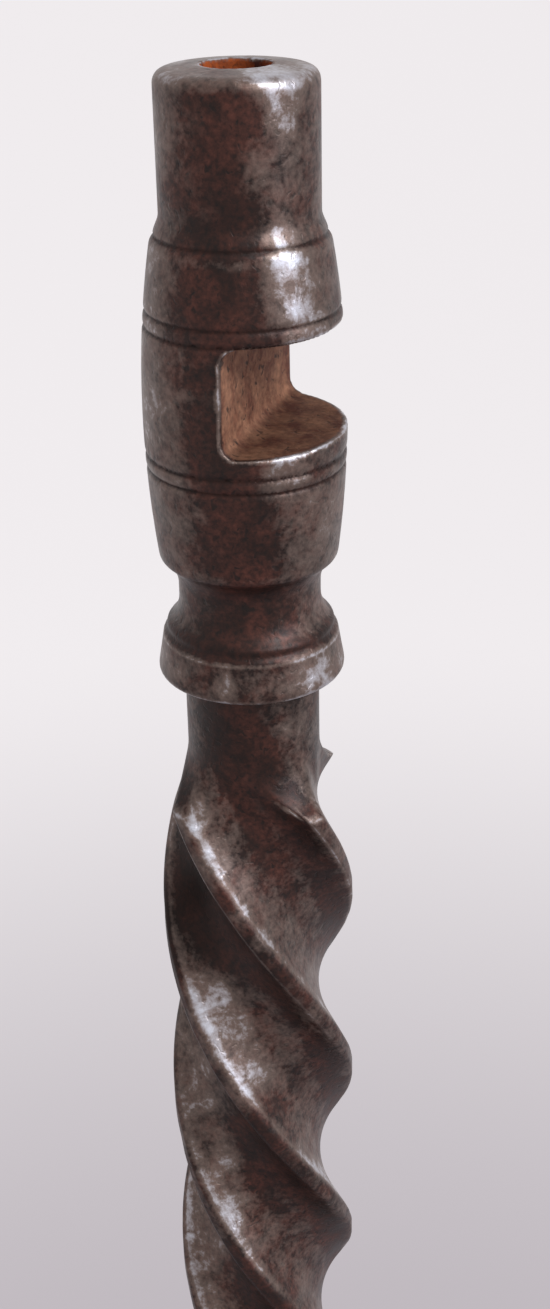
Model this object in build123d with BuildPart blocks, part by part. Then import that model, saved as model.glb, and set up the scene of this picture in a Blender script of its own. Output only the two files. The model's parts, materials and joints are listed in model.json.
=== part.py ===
from build123d import *
from math import cos, radians, sin, sqrt, tan
import os

# Bit socket, drive and grip of a push drill. A four-start twisted spindle carries the socket at
# its upper end and turns in a bearing in the palm pad at its lower end. A grip slides on the twist
# and turns the spindle through a four-lobed nut. All sizes in millimetres, +Z up, the origin at
# the centre of the pad's flat face, +X out of the socket's notch. The grip is at its lower stop.

# ---- Running clearances and stop gaps ----------------------------------------------------------
JOURNAL_CLEARANCE = 0.10
GUIDE_CLEARANCE = 0.15
NUT_CLEARANCE = 0.25
WASHER_CLEARANCE = 0.35
PIN_CLEARANCE = 0.20
THRUST_GAP = 0.10
SHOULDER_GAP = 0.50
STOP_GAP = 0.20

# ---- Palm pad: turned hardwood on a flat face --------------------------------------------------
PAD_FACE_R = 15.0
PAD_R = 24.0
PAD_WIDEST_HEIGHT = 9.5
PAD_NECK_R = 15.0
PAD_HEIGHT = 28.0
PAD_BARE_NECK = 0.5

# ---- Brass ferrule round the pad's neck, and its pins ------------------------------------------
FERRULE_WALL = 0.9
FERRULE_LENGTH = 7.5
FERRULE_EDGE = 0.35
FERRULE_PINS = 2
FERRULE_PIN_R = 0.8
FERRULE_PIN_LENGTH = 4.4

# ---- Bearing housing let into the pad, its bush and thrust disc --------------------------------
SLEEVE_R = 8.0
SLEEVE_LENGTH = 17.0
FLANGE_THICKNESS = 2.8
FLANGE_EDGE = 0.8
BOSS_R = 9.2
BOSS_HEIGHT = 11.0
BOSS_EDGE = 0.6
BOSS_FILLET = 1.2
DISC_THICKNESS = 3.0
BUSH_R = 6.4
BUSH_LENGTH = 18.0

# ---- Screws that hold the housing to the pad ---------------------------------------------------
HOUSING_SCREWS = 3
HOUSING_SCREW_CIRCLE_R = 12.4
HOUSING_SCREW_R = 1.1
HOUSING_SCREW_HEAD_R = 2.1
HOUSING_SCREW_LENGTH = 13.0

# ---- Two pins across the boss that hold the journal by its groove ------------------------------
RETAINING_PIN_R = 1.0
RETAINING_PIN_HEIGHT = 5.6

# ---- Leather buffer washer on the boss ---------------------------------------------------------
WASHER_THICKNESS = 2.5
WASHER_EDGE = 0.5

# ---- Spindle: journal, twisted bar with four ridges, neck and tenon ----------------------------
JOURNAL_R = 4.1
JOURNAL_END_ROUND = 2.4
JOURNAL_GROOVE_R = 2.9
RIDGE_COUNT = 4
RIDGE_R = 6.52
RIDGE_EDGE = 0.35
FLUTE_FLOOR_R = 4.14
FLUTE_CUTTER_R = 10.05
LEAD = 62.245
RIDGE_ANGLE_AT_TOP = 63.0
RIDGE_END_CHAMFER = 1.2
TWIST_STRETCHES = 8
NECK_R = 4.3
NECK_LENGTH = 5.2
FLARE_LENGTH = 3.8
RUNOUT_R = 4.25
RUNOUT_LENGTH = 8.2
RUNOUT_TAPER = 3.0
TENON_R = 2.9
TENON_LENGTH = 10.0

# ---- Grip: wooden barrel on a tube between two caps --------------------------------------------
GRIP_LENGTH = 84.0
GRIP_TRAVEL = 160.0
BARREL_R = 17.5
BARREL_LINE_PITCH = 1.6
BARREL_LINE_WIDTH = 0.5
BARREL_LINE_DEPTH = 0.3
BARREL_LINES_FROM_CAP = 4.0
TUBE_R = 9.5
TUBE_WALL = 1.0
CAP_R = 15.5
CAP_WALL = 1.2
CAP_PLATE = 3.0
CAP_SKIRT = 9.0
CAP_EDGE = 0.9
CAP_PINS = 3
CAP_PIN_R = 0.9
CAP_PIN_LENGTH = 4.4
PIN_HEAD_RISE = 0.12

# ---- Plain bush in the lower cap and driving nut in the upper one, each with a flange ----------
SEAT_FLANGE_R = 13.4
SEAT_FLANGE = 2.2
SEAT_FLANGE_EDGE = 0.3
GUIDE_LENGTH = 13.0
NUT_LENGTH = 18.0
SEAT_SCREWS = 3
SEAT_SCREW_CIRCLE_R = 11.1
SEAT_SCREW_R = 0.9
SEAT_SCREW_HEAD_R = 1.6
SEAT_SCREW_LENGTH = 9.0
SLOT_WIDTH = 0.45
SLOT_DEPTH = 0.40

# ---- Bit socket: a turned baluster, its levels measured down from the mouth --------------------
SOCKET_LENGTH = 37.25
BORE_R = 2.0
DRILL_POINT = 118.0
MOUTH_R = 4.70
MOUTH_DOME = 0.35
MOUTH_EDGE = 0.75
MOUTH_LENGTH = 8.35
SHOULDER_R = 5.30
SHOULDER_LEVEL = 9.7
SHOULDER_EASE = 0.6
SHOULDER_LINE_LEVEL = 9.3
BULB_R = 6.18
BULB_LEVEL = 20.0
BULB_END_R = 5.58
BULB_END_LEVEL = 29.3
BULB_EDGE = 0.5
COVE_R = 4.48
COVE_LEVEL = 31.1
COVE_LENGTH = 1.0
COVE_END_R = 5.30
COVE_END_LEVEL = 33.75
RIM_R = 5.56
RIM_LEVEL = 34.4
RIM_STEP = 0.14
COLLAR_R = 6.04
COLLAR_EDGE = 0.4
NOTCH_LEVEL = 14.5
NOTCH_HEIGHT = 6.4
NOTCH_WALL_X = 0.8
NOTCH_CORNER_R = 0.9
NOTCH_SLANT = 2.0
GROOVE_PAIR_LEVELS = (14.05, 22.75)
GROOVE_PITCH = 0.9
GROOVE_WIDTH = 0.36
GROOVE_DEPTH = 0.14

# ---- Radii and heights that follow from the sizes above ----------------------------------------
FERRULE_R = PAD_NECK_R + FERRULE_WALL
PAD_THROAT_HEIGHT = PAD_HEIGHT - FERRULE_LENGTH - PAD_BARE_NECK
HOUSING_BORE_R = JOURNAL_R + 2 * JOURNAL_CLEARANCE
SEAT_R = TUBE_R - TUBE_WALL
BARREL_TENON_R = CAP_R - CAP_WALL
SLEEVE_BOTTOM = PAD_HEIGHT - SLEEVE_LENGTH
DISC_TOP = SLEEVE_BOTTOM + DISC_THICKNESS
BUSH_TOP = DISC_TOP + BUSH_LENGTH
FLANGE_TOP = PAD_HEIGHT + FLANGE_THICKNESS
BOSS_TOP = FLANGE_TOP + BOSS_HEIGHT
PIN_LEVEL = FLANGE_TOP + RETAINING_PIN_HEIGHT
PIN_OFFSET = JOURNAL_GROOVE_R + PIN_CLEARANCE + RETAINING_PIN_R
TWIST_START = BOSS_TOP + SHOULDER_GAP
GRIP_START = BOSS_TOP + WASHER_THICKNESS + STOP_GAP
GRIP_END = GRIP_START + GRIP_LENGTH
BARREL_START = GRIP_START + SEAT_FLANGE + CAP_PLATE
BARREL_END = GRIP_END - SEAT_FLANGE - CAP_PLATE
COLLAR_FACE = GRIP_END + GRIP_TRAVEL + STOP_GAP
TWIST_END = COLLAR_FACE - NECK_LENGTH
TOP = COLLAR_FACE + SOCKET_LENGTH
GRIP_MIDDLE = Plane.XY.offset((GRIP_START + GRIP_END) / 2)

os.makedirs("parts", exist_ok=True)


def down(level):
    """Height of a level that is measured down from the mouth of the bit socket."""
    return TOP - level


def corner(outline, radius, height):
    """Vertex of a half-section nearest to a radius and a height."""
    return outline.vertices().sort_by_distance((radius, height, 0))[0]


def ridge_plane(height):
    """Level plane whose X axis points at the ridge crest that passes that height."""
    angle = radians(RIDGE_ANGLE_AT_TOP + 360 * (TOP - height) / LEAD)
    return Plane((0, 0, height), x_dir=(cos(angle), sin(angle), 0), z_dir=(0, 0, 1))


def ridge_section(growth):
    """Four-ridged section of the twist, with its outline moved outwards by growth."""
    with BuildSketch() as section:
        Circle(RIDGE_R + growth)
        with PolarLocations(FLUTE_FLOOR_R + FLUTE_CUTTER_R, RIDGE_COUNT, 180 / RIDGE_COUNT):
            Circle(FLUTE_CUTTER_R - growth, mode=Mode.SUBTRACT)
        chamfer(section.vertices(), RIDGE_EDGE)
    return section.sketch


def twist_guides(start, end):
    """Straight path between two heights, and the left-hand helix that turns a section along it."""
    path = Edge.make_line((0, 0, start), (0, 0, end))
    helix = Edge.make_helix(LEAD, end - start, RIDGE_R, (0, 0, start), (0, 0, 1), lefthand=True)
    return path, helix


def screw_ring(plane, circle_r, count, screw_r, head_r, length, slotted):
    """Ring of countersunk screws with heads flush in the plane, or their holes when not slotted."""
    with BuildPart(plane) as ring:
        with PolarLocations(circle_r, count):
            Cylinder(screw_r, length, align=(Align.CENTER, Align.CENTER, Align.MAX))
            Cone(screw_r, head_r, head_r - screw_r, align=(Align.CENTER, Align.CENTER, Align.MAX))
            if slotted:
                Box(3 * head_r, SLOT_WIDTH, 2 * SLOT_DEPTH, mode=Mode.SUBTRACT)
    return ring.part


def radial_pins(height, outer_r, count, pin_r, length):
    """Ring of pins that point outwards at one height and end at the outer radius."""
    with BuildPart(Plane.XY.offset(height)) as pins:
        with PolarLocations(outer_r, count, 90):
            Cylinder(pin_r, length, rotation=(0, 90, 0), align=(Align.CENTER, Align.CENTER, Align.MAX))
    return pins.part


def bulb_radius(level):
    """Radius of the socket's bulb at a level: one arc above its widest level and one below."""
    if level < BULB_LEVEL:
        run = BULB_LEVEL - SHOULDER_LEVEL
        rise = BULB_R - SHOULDER_R
    else:
        run = BULB_END_LEVEL - BULB_LEVEL
        rise = BULB_R - BULB_END_R
    arc_r = (run**2 + rise**2) / (2 * rise)
    return BULB_R - arc_r + sqrt(arc_r**2 - (level - BULB_LEVEL) ** 2)


def barrel_radius(height):
    """Radius of the grip barrel's bulged outside, one arc, at a height."""
    rise = BARREL_R - CAP_R
    run = (BARREL_END - BARREL_START) / 2 - CAP_SKIRT
    arc_r = (run**2 + rise**2) / (2 * rise)
    return BARREL_R - arc_r + sqrt(arc_r**2 - (height - GRIP_MIDDLE.origin.Z) ** 2)


def turned_lines():
    """Level of each V-shaped line turned into the socket, with the socket's radius there."""
    slope = (SHOULDER_R - MOUTH_R) / (SHOULDER_LEVEL - MOUTH_LENGTH)
    lines = [(SHOULDER_LINE_LEVEL, SHOULDER_R - slope * (SHOULDER_LEVEL - SHOULDER_LINE_LEVEL))]
    for pair_level in GROOVE_PAIR_LEVELS:
        for level in (pair_level - GROOVE_PITCH / 2, pair_level + GROOVE_PITCH / 2):
            lines.append((level, bulb_radius(level)))
    return lines


# ---- Screws and pins: the same rings cut their holes -------------------------------------------
HOUSING_SCREW_SIZES = (
    Plane.XY.offset(FLANGE_TOP),
    HOUSING_SCREW_CIRCLE_R,
    HOUSING_SCREWS,
    HOUSING_SCREW_R,
    HOUSING_SCREW_HEAD_R,
    HOUSING_SCREW_LENGTH,
)
GUIDE_SCREW_SIZES = (
    Plane((0, 0, GRIP_START), z_dir=(0, 0, -1)),
    SEAT_SCREW_CIRCLE_R,
    SEAT_SCREWS,
    SEAT_SCREW_R,
    SEAT_SCREW_HEAD_R,
    SEAT_SCREW_LENGTH,
)
FERRULE_PIN_SIZES = (
    PAD_HEIGHT - FERRULE_LENGTH / 2,
    FERRULE_R + PIN_HEAD_RISE,
    FERRULE_PINS,
    FERRULE_PIN_R,
    FERRULE_PIN_LENGTH,
)
LOWER_PIN_SIZES = (
    BARREL_START + CAP_SKIRT / 2,
    CAP_R + PIN_HEAD_RISE,
    CAP_PINS,
    CAP_PIN_R,
    CAP_PIN_LENGTH,
)

with BuildPart() as housing_screws:
    add(screw_ring(*HOUSING_SCREW_SIZES, slotted=True))

with BuildPart() as guide_screws:
    add(screw_ring(*GUIDE_SCREW_SIZES, slotted=True))

with BuildPart() as nut_screws:
    mirror(guide_screws.part, about=GRIP_MIDDLE)

with BuildPart() as ferrule_pins:
    add(radial_pins(*FERRULE_PIN_SIZES))

with BuildPart() as lower_cap_pins:
    add(radial_pins(*LOWER_PIN_SIZES))

with BuildPart() as upper_cap_pins:
    mirror(lower_cap_pins.part, about=GRIP_MIDDLE)

with BuildPart() as retaining_pins:
    chord = 2 * sqrt(BOSS_R**2 - (PIN_OFFSET + RETAINING_PIN_R) ** 2)
    with Locations((-PIN_OFFSET, 0, PIN_LEVEL), (PIN_OFFSET, 0, PIN_LEVEL)):
        Cylinder(RETAINING_PIN_R, chord, rotation=(90, 0, 0))

# ---- Head: everything that stays in the palm ---------------------------------------------------
with BuildPart() as palm_pad:
    with BuildSketch(Plane.XZ) as half:
        with BuildLine():
            Line((0, PAD_HEIGHT), (0, 0))
            Line((0, 0), (PAD_FACE_R, 0))
            EllipticalCenterArc(
                (PAD_FACE_R, PAD_WIDEST_HEIGHT), PAD_R - PAD_FACE_R, PAD_WIDEST_HEIGHT, start_angle=270, arc_size=90
            )
            Spline((PAD_R, PAD_WIDEST_HEIGHT), (PAD_NECK_R, PAD_THROAT_HEIGHT), tangents=[(0, 1), (0, 1)])
            Line((PAD_NECK_R, PAD_THROAT_HEIGHT), (PAD_NECK_R, PAD_HEIGHT))
            Line((PAD_NECK_R, PAD_HEIGHT), (0, PAD_HEIGHT))
        make_face()
    revolve(axis=Axis.Z)
    with Locations((0, 0, PAD_HEIGHT)):
        Hole(SLEEVE_R, SLEEVE_LENGTH)
    add(screw_ring(*HOUSING_SCREW_SIZES, slotted=False), mode=Mode.SUBTRACT)
    add(ferrule_pins.part, mode=Mode.SUBTRACT)

with BuildPart() as pad_ferrule:
    with BuildSketch(Plane.XZ) as half:
        with Locations((PAD_NECK_R, PAD_HEIGHT)):
            Rectangle(FERRULE_WALL, FERRULE_LENGTH, align=(Align.MIN, Align.MAX))
        fillet(corner(half, FERRULE_R, PAD_HEIGHT - FERRULE_LENGTH), FERRULE_EDGE)
    revolve(axis=Axis.Z)
    add(ferrule_pins.part, mode=Mode.SUBTRACT)

with BuildPart() as bearing_housing:
    with BuildSketch(Plane.XZ) as half:
        Polygon(
            (BUSH_R, SLEEVE_BOTTOM),
            (SLEEVE_R, SLEEVE_BOTTOM),
            (SLEEVE_R, PAD_HEIGHT),
            (FERRULE_R, PAD_HEIGHT),
            (FERRULE_R, FLANGE_TOP),
            (BOSS_R, FLANGE_TOP),
            (BOSS_R, BOSS_TOP),
            (HOUSING_BORE_R, BOSS_TOP),
            (HOUSING_BORE_R, BUSH_TOP),
            (BUSH_R, BUSH_TOP),
            align=None,
        )
        fillet(corner(half, FERRULE_R, FLANGE_TOP), FLANGE_EDGE)
        fillet(corner(half, BOSS_R, FLANGE_TOP), BOSS_FILLET)
        chamfer(corner(half, BOSS_R, BOSS_TOP), BOSS_EDGE)
    revolve(axis=Axis.Z)
    add(screw_ring(*HOUSING_SCREW_SIZES, slotted=False), mode=Mode.SUBTRACT)
    with Locations((-PIN_OFFSET, 0, PIN_LEVEL), (PIN_OFFSET, 0, PIN_LEVEL)):
        Cylinder(RETAINING_PIN_R, 2 * BOSS_R, rotation=(90, 0, 0), mode=Mode.SUBTRACT)

with BuildPart() as bearing_bush:
    with BuildSketch(Plane.XY.offset(DISC_TOP)):
        Circle(BUSH_R)
        Circle(JOURNAL_R + JOURNAL_CLEARANCE, mode=Mode.SUBTRACT)
    extrude(amount=BUSH_LENGTH)

with BuildPart() as thrust_disc:
    with BuildSketch(Plane.XY.offset(SLEEVE_BOTTOM)):
        Circle(BUSH_R)
    extrude(amount=DISC_THICKNESS)

with BuildPart() as buffer_washer:
    with BuildSketch(Plane.XY.offset(BOSS_TOP)):
        Circle(BOSS_R)
        Circle(RIDGE_R + WASHER_CLEARANCE, mode=Mode.SUBTRACT)
    extrude(amount=WASHER_THICKNESS)
    rim = buffer_washer.faces().filter_by(GeomType.CYLINDER).sort_by(SortBy.AREA)[-1]
    fillet(rim.edges().filter_by(GeomType.CIRCLE), WASHER_EDGE)

# ---- Spindle and its bit socket ----------------------------------------------------------------
with BuildPart() as spindle:
    # The twist is swept in equal stretches, each less than half a turn.
    stretch = (TWIST_END - TWIST_START) / TWIST_STRETCHES
    for count in range(TWIST_STRETCHES):
        stretch_start = TWIST_START + count * stretch
        with BuildSketch(ridge_plane(stretch_start)):
            add(ridge_section(0))
        twist_path, twist_helix = twist_guides(stretch_start, stretch_start + stretch)
        sweep(path=twist_path, binormal=twist_helix, clean=False)
    # The ridges start in a chamfer and end in a hollow flare that runs up into the neck.
    with BuildSketch(Plane.XZ):
        with BuildLine():
            base = Line((0, TWIST_START), (RIDGE_R - RIDGE_END_CHAMFER, TWIST_START))
            cone = Line(base @ 1, (RIDGE_R + RIDGE_EDGE, TWIST_START + RIDGE_END_CHAMFER + RIDGE_EDGE))
            side = Line(cone @ 1, (RIDGE_R + RIDGE_EDGE, TWIST_END - FLARE_LENGTH))
            flare = TangentArc((NECK_R, TWIST_END), side @ 1, tangent=(0, -1))
            Line(flare @ 0, (0, TWIST_END))
            Line((0, TWIST_END), (0, TWIST_START))
        make_face()
    revolve(axis=Axis.Z, mode=Mode.INTERSECT)
    # Neck, whose core runs on into the flutes until they have their full depth.
    with BuildSketch(Plane.XZ):
        Polygon(
            (0, COLLAR_FACE - RUNOUT_LENGTH - RUNOUT_TAPER),
            (FLUTE_FLOOR_R - RUNOUT_TAPER / 10, COLLAR_FACE - RUNOUT_LENGTH - RUNOUT_TAPER),
            (RUNOUT_R, COLLAR_FACE - RUNOUT_LENGTH),
            (RUNOUT_R, TWIST_END),
            (NECK_R, TWIST_END),
            (NECK_R, COLLAR_FACE),
            (TENON_R, COLLAR_FACE),
            (TENON_R, COLLAR_FACE + TENON_LENGTH),
            (0, COLLAR_FACE + TENON_LENGTH),
            align=None,
        )
    revolve(axis=Axis.Z)
    # Journal with the groove for the retaining pins, its end rounded on the thrust disc.
    groove_half = RETAINING_PIN_R + PIN_CLEARANCE
    with BuildSketch(Plane.XZ) as half:
        Polygon(
            (0, DISC_TOP + THRUST_GAP),
            (JOURNAL_R, DISC_TOP + THRUST_GAP),
            (JOURNAL_R, PIN_LEVEL - groove_half),
            (JOURNAL_GROOVE_R, PIN_LEVEL - groove_half),
            (JOURNAL_GROOVE_R, PIN_LEVEL + groove_half),
            (JOURNAL_R, PIN_LEVEL + groove_half),
            (JOURNAL_R, TWIST_START),
            (0, TWIST_START),
            align=None,
        )
        fillet(corner(half, JOURNAL_R, DISC_TOP + THRUST_GAP), JOURNAL_END_ROUND)
    revolve(axis=Axis.Z)

with BuildPart() as bit_socket:
    with BuildSketch(Plane.XZ) as half:
        with BuildLine():
            mouth = TangentArc((0, TOP), (MOUTH_R, down(MOUTH_DOME)), tangent=(1, 0))
            Line(mouth @ 1, (MOUTH_R, down(MOUTH_LENGTH)))
            Line((MOUTH_R, down(MOUTH_LENGTH)), (SHOULDER_R, down(SHOULDER_LEVEL)))
            TangentArc((BULB_R, down(BULB_LEVEL)), (SHOULDER_R, down(SHOULDER_LEVEL)), tangent=(0, 1))
            TangentArc((BULB_R, down(BULB_LEVEL)), (BULB_END_R, down(BULB_END_LEVEL)), tangent=(0, -1))
            cove = Line((COVE_R, down(COVE_LEVEL)), (COVE_R, down(COVE_LEVEL + COVE_LENGTH)))
            TangentArc(cove @ 0, (BULB_END_R, down(BULB_END_LEVEL)), tangent=(0, 1))
            TangentArc(cove @ 1, (COVE_END_R, down(COVE_END_LEVEL)), tangent=(0, -1))
            Line((COVE_END_R, down(COVE_END_LEVEL)), (RIM_R - RIM_STEP, down(RIM_LEVEL)))
            Line((RIM_R - RIM_STEP, down(RIM_LEVEL)), (RIM_R, down(RIM_LEVEL)))
            Line((RIM_R, down(RIM_LEVEL)), (COLLAR_R, COLLAR_FACE))
            Line((COLLAR_R, COLLAR_FACE), (0, COLLAR_FACE))
            Line((0, COLLAR_FACE), (0, TOP))
        make_face()
        fillet(corner(half, MOUTH_R, down(MOUTH_DOME)), MOUTH_EDGE)
        fillet(corner(half, MOUTH_R, down(MOUTH_LENGTH)), SHOULDER_EASE)
        fillet(corner(half, SHOULDER_R, down(SHOULDER_LEVEL)), SHOULDER_EASE)
        fillet(corner(half, BULB_END_R, down(BULB_END_LEVEL)), BULB_EDGE)
        fillet(corner(half, COLLAR_R, COLLAR_FACE), COLLAR_EDGE)
    revolve(axis=Axis.Z)
    # Blind bore with a drill point, opening into the notch that takes a half-moon tang.
    with BuildSketch(Plane.XZ):
        Polygon(
            (0, TOP + BORE_R),
            (BORE_R, TOP + BORE_R),
            (BORE_R, down(NOTCH_LEVEL)),
            (0, down(NOTCH_LEVEL) - BORE_R / tan(radians(DRILL_POINT / 2))),
            align=None,
        )
    revolve(axis=Axis.Z, mode=Mode.SUBTRACT)
    slanted = Plane((0, 0, down(NOTCH_LEVEL)), x_dir=(1, 0, 0), z_dir=(0, -1, 0)).rotated((NOTCH_SLANT, 0, 0))
    with BuildSketch(slanted) as notch:
        with Locations((NOTCH_WALL_X, 0)):
            Rectangle(2 * BULB_R, NOTCH_HEIGHT, align=(Align.MIN, Align.MAX))
        fillet(notch.vertices().group_by(Axis.X)[0], NOTCH_CORNER_R)
    extrude(amount=2 * BULB_R, both=True, mode=Mode.SUBTRACT)
    # Turned lines: one under the shoulder, and a pair above and below the notch.
    with BuildSketch(Plane.XZ):
        for level, surface_r in turned_lines():
            Polygon(
                (surface_r + GROOVE_DEPTH, down(level) + GROOVE_WIDTH),
                (surface_r - GROOVE_DEPTH, down(level)),
                (surface_r + GROOVE_DEPTH, down(level) - GROOVE_WIDTH),
                align=None,
            )
    revolve(axis=Axis.Z, mode=Mode.SUBTRACT)
    with Locations((0, 0, COLLAR_FACE)):
        Cylinder(TENON_R, TENON_LENGTH, align=(Align.CENTER, Align.CENTER, Align.MIN), mode=Mode.SUBTRACT)

# ---- Grip: everything that slides with the hand ------------------------------------------------
with BuildPart() as grip_barrel:
    with BuildSketch(Plane.XZ) as half:
        with BuildLine():
            Polyline(
                (CAP_R, BARREL_START + CAP_SKIRT),
                (BARREL_TENON_R, BARREL_START + CAP_SKIRT),
                (BARREL_TENON_R, BARREL_START),
                (TUBE_R, BARREL_START),
                (TUBE_R, BARREL_END),
                (BARREL_TENON_R, BARREL_END),
                (BARREL_TENON_R, BARREL_END - CAP_SKIRT),
                (CAP_R, BARREL_END - CAP_SKIRT),
            )
            ThreePointArc(
                (CAP_R, BARREL_START + CAP_SKIRT),
                (BARREL_R, GRIP_MIDDLE.origin.Z),
                (CAP_R, BARREL_END - CAP_SKIRT),
            )
        make_face()
    revolve(axis=Axis.Z)
    # A pair of scribed lines beside each cap.
    with BuildSketch(Plane.XZ):
        for count in range(2):
            from_end = CAP_SKIRT + BARREL_LINES_FROM_CAP + count * BARREL_LINE_PITCH
            surface_r = barrel_radius(BARREL_START + from_end)
            for height in (BARREL_START + from_end, BARREL_END - from_end):
                Polygon(
                    (surface_r + BARREL_LINE_DEPTH, height + BARREL_LINE_WIDTH),
                    (surface_r - BARREL_LINE_DEPTH, height),
                    (surface_r + BARREL_LINE_DEPTH, height - BARREL_LINE_WIDTH),
                    align=None,
                )
    revolve(axis=Axis.Z, mode=Mode.SUBTRACT)
    add(lower_cap_pins.part, mode=Mode.SUBTRACT)
    add(upper_cap_pins.part, mode=Mode.SUBTRACT)
    guide_holes = screw_ring(*GUIDE_SCREW_SIZES, slotted=False)
    add(guide_holes, mode=Mode.SUBTRACT)
    mirror(guide_holes, about=GRIP_MIDDLE, mode=Mode.SUBTRACT)

with BuildPart() as grip_tube:
    with BuildSketch(Plane.XY.offset(BARREL_START)):
        Circle(TUBE_R)
        Circle(SEAT_R, mode=Mode.SUBTRACT)
    extrude(amount=BARREL_END - BARREL_START)

with BuildPart() as lower_cap:
    with BuildSketch(Plane.XZ) as half:
        Polygon(
            (SEAT_R, GRIP_START + SEAT_FLANGE),
            (CAP_R, GRIP_START + SEAT_FLANGE),
            (CAP_R, BARREL_START + CAP_SKIRT),
            (BARREL_TENON_R, BARREL_START + CAP_SKIRT),
            (BARREL_TENON_R, BARREL_START),
            (SEAT_R, BARREL_START),
            align=None,
        )
        fillet(corner(half, CAP_R, GRIP_START + SEAT_FLANGE), CAP_EDGE)
    revolve(axis=Axis.Z)
    add(guide_holes, mode=Mode.SUBTRACT)
    add(lower_cap_pins.part, mode=Mode.SUBTRACT)

with BuildPart() as upper_cap:
    mirror(lower_cap.part, about=GRIP_MIDDLE)

with BuildPart() as guide_bush:
    with BuildSketch(Plane.XZ) as half:
        Polygon(
            (RIDGE_R + GUIDE_CLEARANCE, GRIP_START),
            (SEAT_FLANGE_R, GRIP_START),
            (SEAT_FLANGE_R, GRIP_START + SEAT_FLANGE),
            (SEAT_R, GRIP_START + SEAT_FLANGE),
            (SEAT_R, GRIP_START + GUIDE_LENGTH),
            (RIDGE_R + GUIDE_CLEARANCE, GRIP_START + GUIDE_LENGTH),
            align=None,
        )
        chamfer(corner(half, SEAT_FLANGE_R, GRIP_START), SEAT_FLANGE_EDGE)
    revolve(axis=Axis.Z)
    add(guide_holes, mode=Mode.SUBTRACT)

with BuildPart() as driver_nut:
    with BuildSketch(Plane.XZ) as half:
        Polygon(
            (0, GRIP_END),
            (SEAT_FLANGE_R, GRIP_END),
            (SEAT_FLANGE_R, GRIP_END - SEAT_FLANGE),
            (SEAT_R, GRIP_END - SEAT_FLANGE),
            (SEAT_R, GRIP_END - NUT_LENGTH),
            (0, GRIP_END - NUT_LENGTH),
            align=None,
        )
        chamfer(corner(half, SEAT_FLANGE_R, GRIP_END), SEAT_FLANGE_EDGE)
    revolve(axis=Axis.Z)
    # Twisted hole in step with the spindle, cut through past both faces.
    hole_start = GRIP_END - NUT_LENGTH - SEAT_FLANGE
    hole_end = GRIP_END + SEAT_FLANGE
    with BuildSketch(ridge_plane(hole_start)):
        add(ridge_section(NUT_CLEARANCE))
    nut_path, nut_helix = twist_guides(hole_start, hole_end)
    sweep(path=nut_path, binormal=nut_helix, mode=Mode.SUBTRACT)
    mirror(guide_holes, about=GRIP_MIDDLE, mode=Mode.SUBTRACT)

# ---- Labels and files --------------------------------------------------------------------------
palm_pad.part.label = "palm_pad"
pad_ferrule.part.label = "pad_ferrule"
ferrule_pins.part.label = "ferrule_pins"
bearing_housing.part.label = "bearing_housing"
housing_screws.part.label = "housing_screws"
bearing_bush.part.label = "bearing_bush"
thrust_disc.part.label = "thrust_disc"
retaining_pins.part.label = "retaining_pins"
buffer_washer.part.label = "buffer_washer"
spindle.part.label = "spindle"
bit_socket.part.label = "bit_socket"
grip_barrel.part.label = "grip_barrel"
grip_tube.part.label = "grip_tube"
lower_cap.part.label = "lower_cap"
upper_cap.part.label = "upper_cap"
lower_cap_pins.part.label = "lower_cap_pins"
upper_cap_pins.part.label = "upper_cap_pins"
guide_bush.part.label = "guide_bush"
guide_screws.part.label = "guide_screws"
driver_nut.part.label = "driver_nut"
nut_screws.part.label = "nut_screws"

export_step(palm_pad.part, "parts/palm_pad.step")
export_step(pad_ferrule.part, "parts/pad_ferrule.step")
export_step(ferrule_pins.part, "parts/ferrule_pins.step")
export_step(bearing_housing.part, "parts/bearing_housing.step")
export_step(housing_screws.part, "parts/housing_screws.step")
export_step(bearing_bush.part, "parts/bearing_bush.step")
export_step(thrust_disc.part, "parts/thrust_disc.step")
export_step(retaining_pins.part, "parts/retaining_pins.step")
export_step(buffer_washer.part, "parts/buffer_washer.step")
export_step(spindle.part, "parts/spindle.step")
export_step(bit_socket.part, "parts/bit_socket.step")
export_step(grip_barrel.part, "parts/grip_barrel.step")
export_step(grip_tube.part, "parts/grip_tube.step")
export_step(lower_cap.part, "parts/lower_cap.step")
export_step(upper_cap.part, "parts/upper_cap.step")
export_step(lower_cap_pins.part, "parts/lower_cap_pins.step")
export_step(upper_cap_pins.part, "parts/upper_cap_pins.step")
export_step(guide_bush.part, "parts/guide_bush.step")
export_step(guide_screws.part, "parts/guide_screws.step")
export_step(driver_nut.part, "parts/driver_nut.step")
export_step(nut_screws.part, "parts/nut_screws.step")
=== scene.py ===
"""Looks of an Archimedean push drill, seen close at the bit socket that its twisted spindle carries.

The drill stands on its palm pad. Its hand-cut spindle and turned socket are browned steel, bright
where the nut, the hand and the bit have rubbed, with painted highlights and painted shade added
on them, and its pad and grip are waxed hardwood with brass fittings.
"""

import json
import logging
import math
from dataclasses import dataclass
from enum import Enum
from typing import Mapping, Sequence

import bmesh
import bpy
from mathutils import Euler, Matrix, Vector, noise

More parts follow.
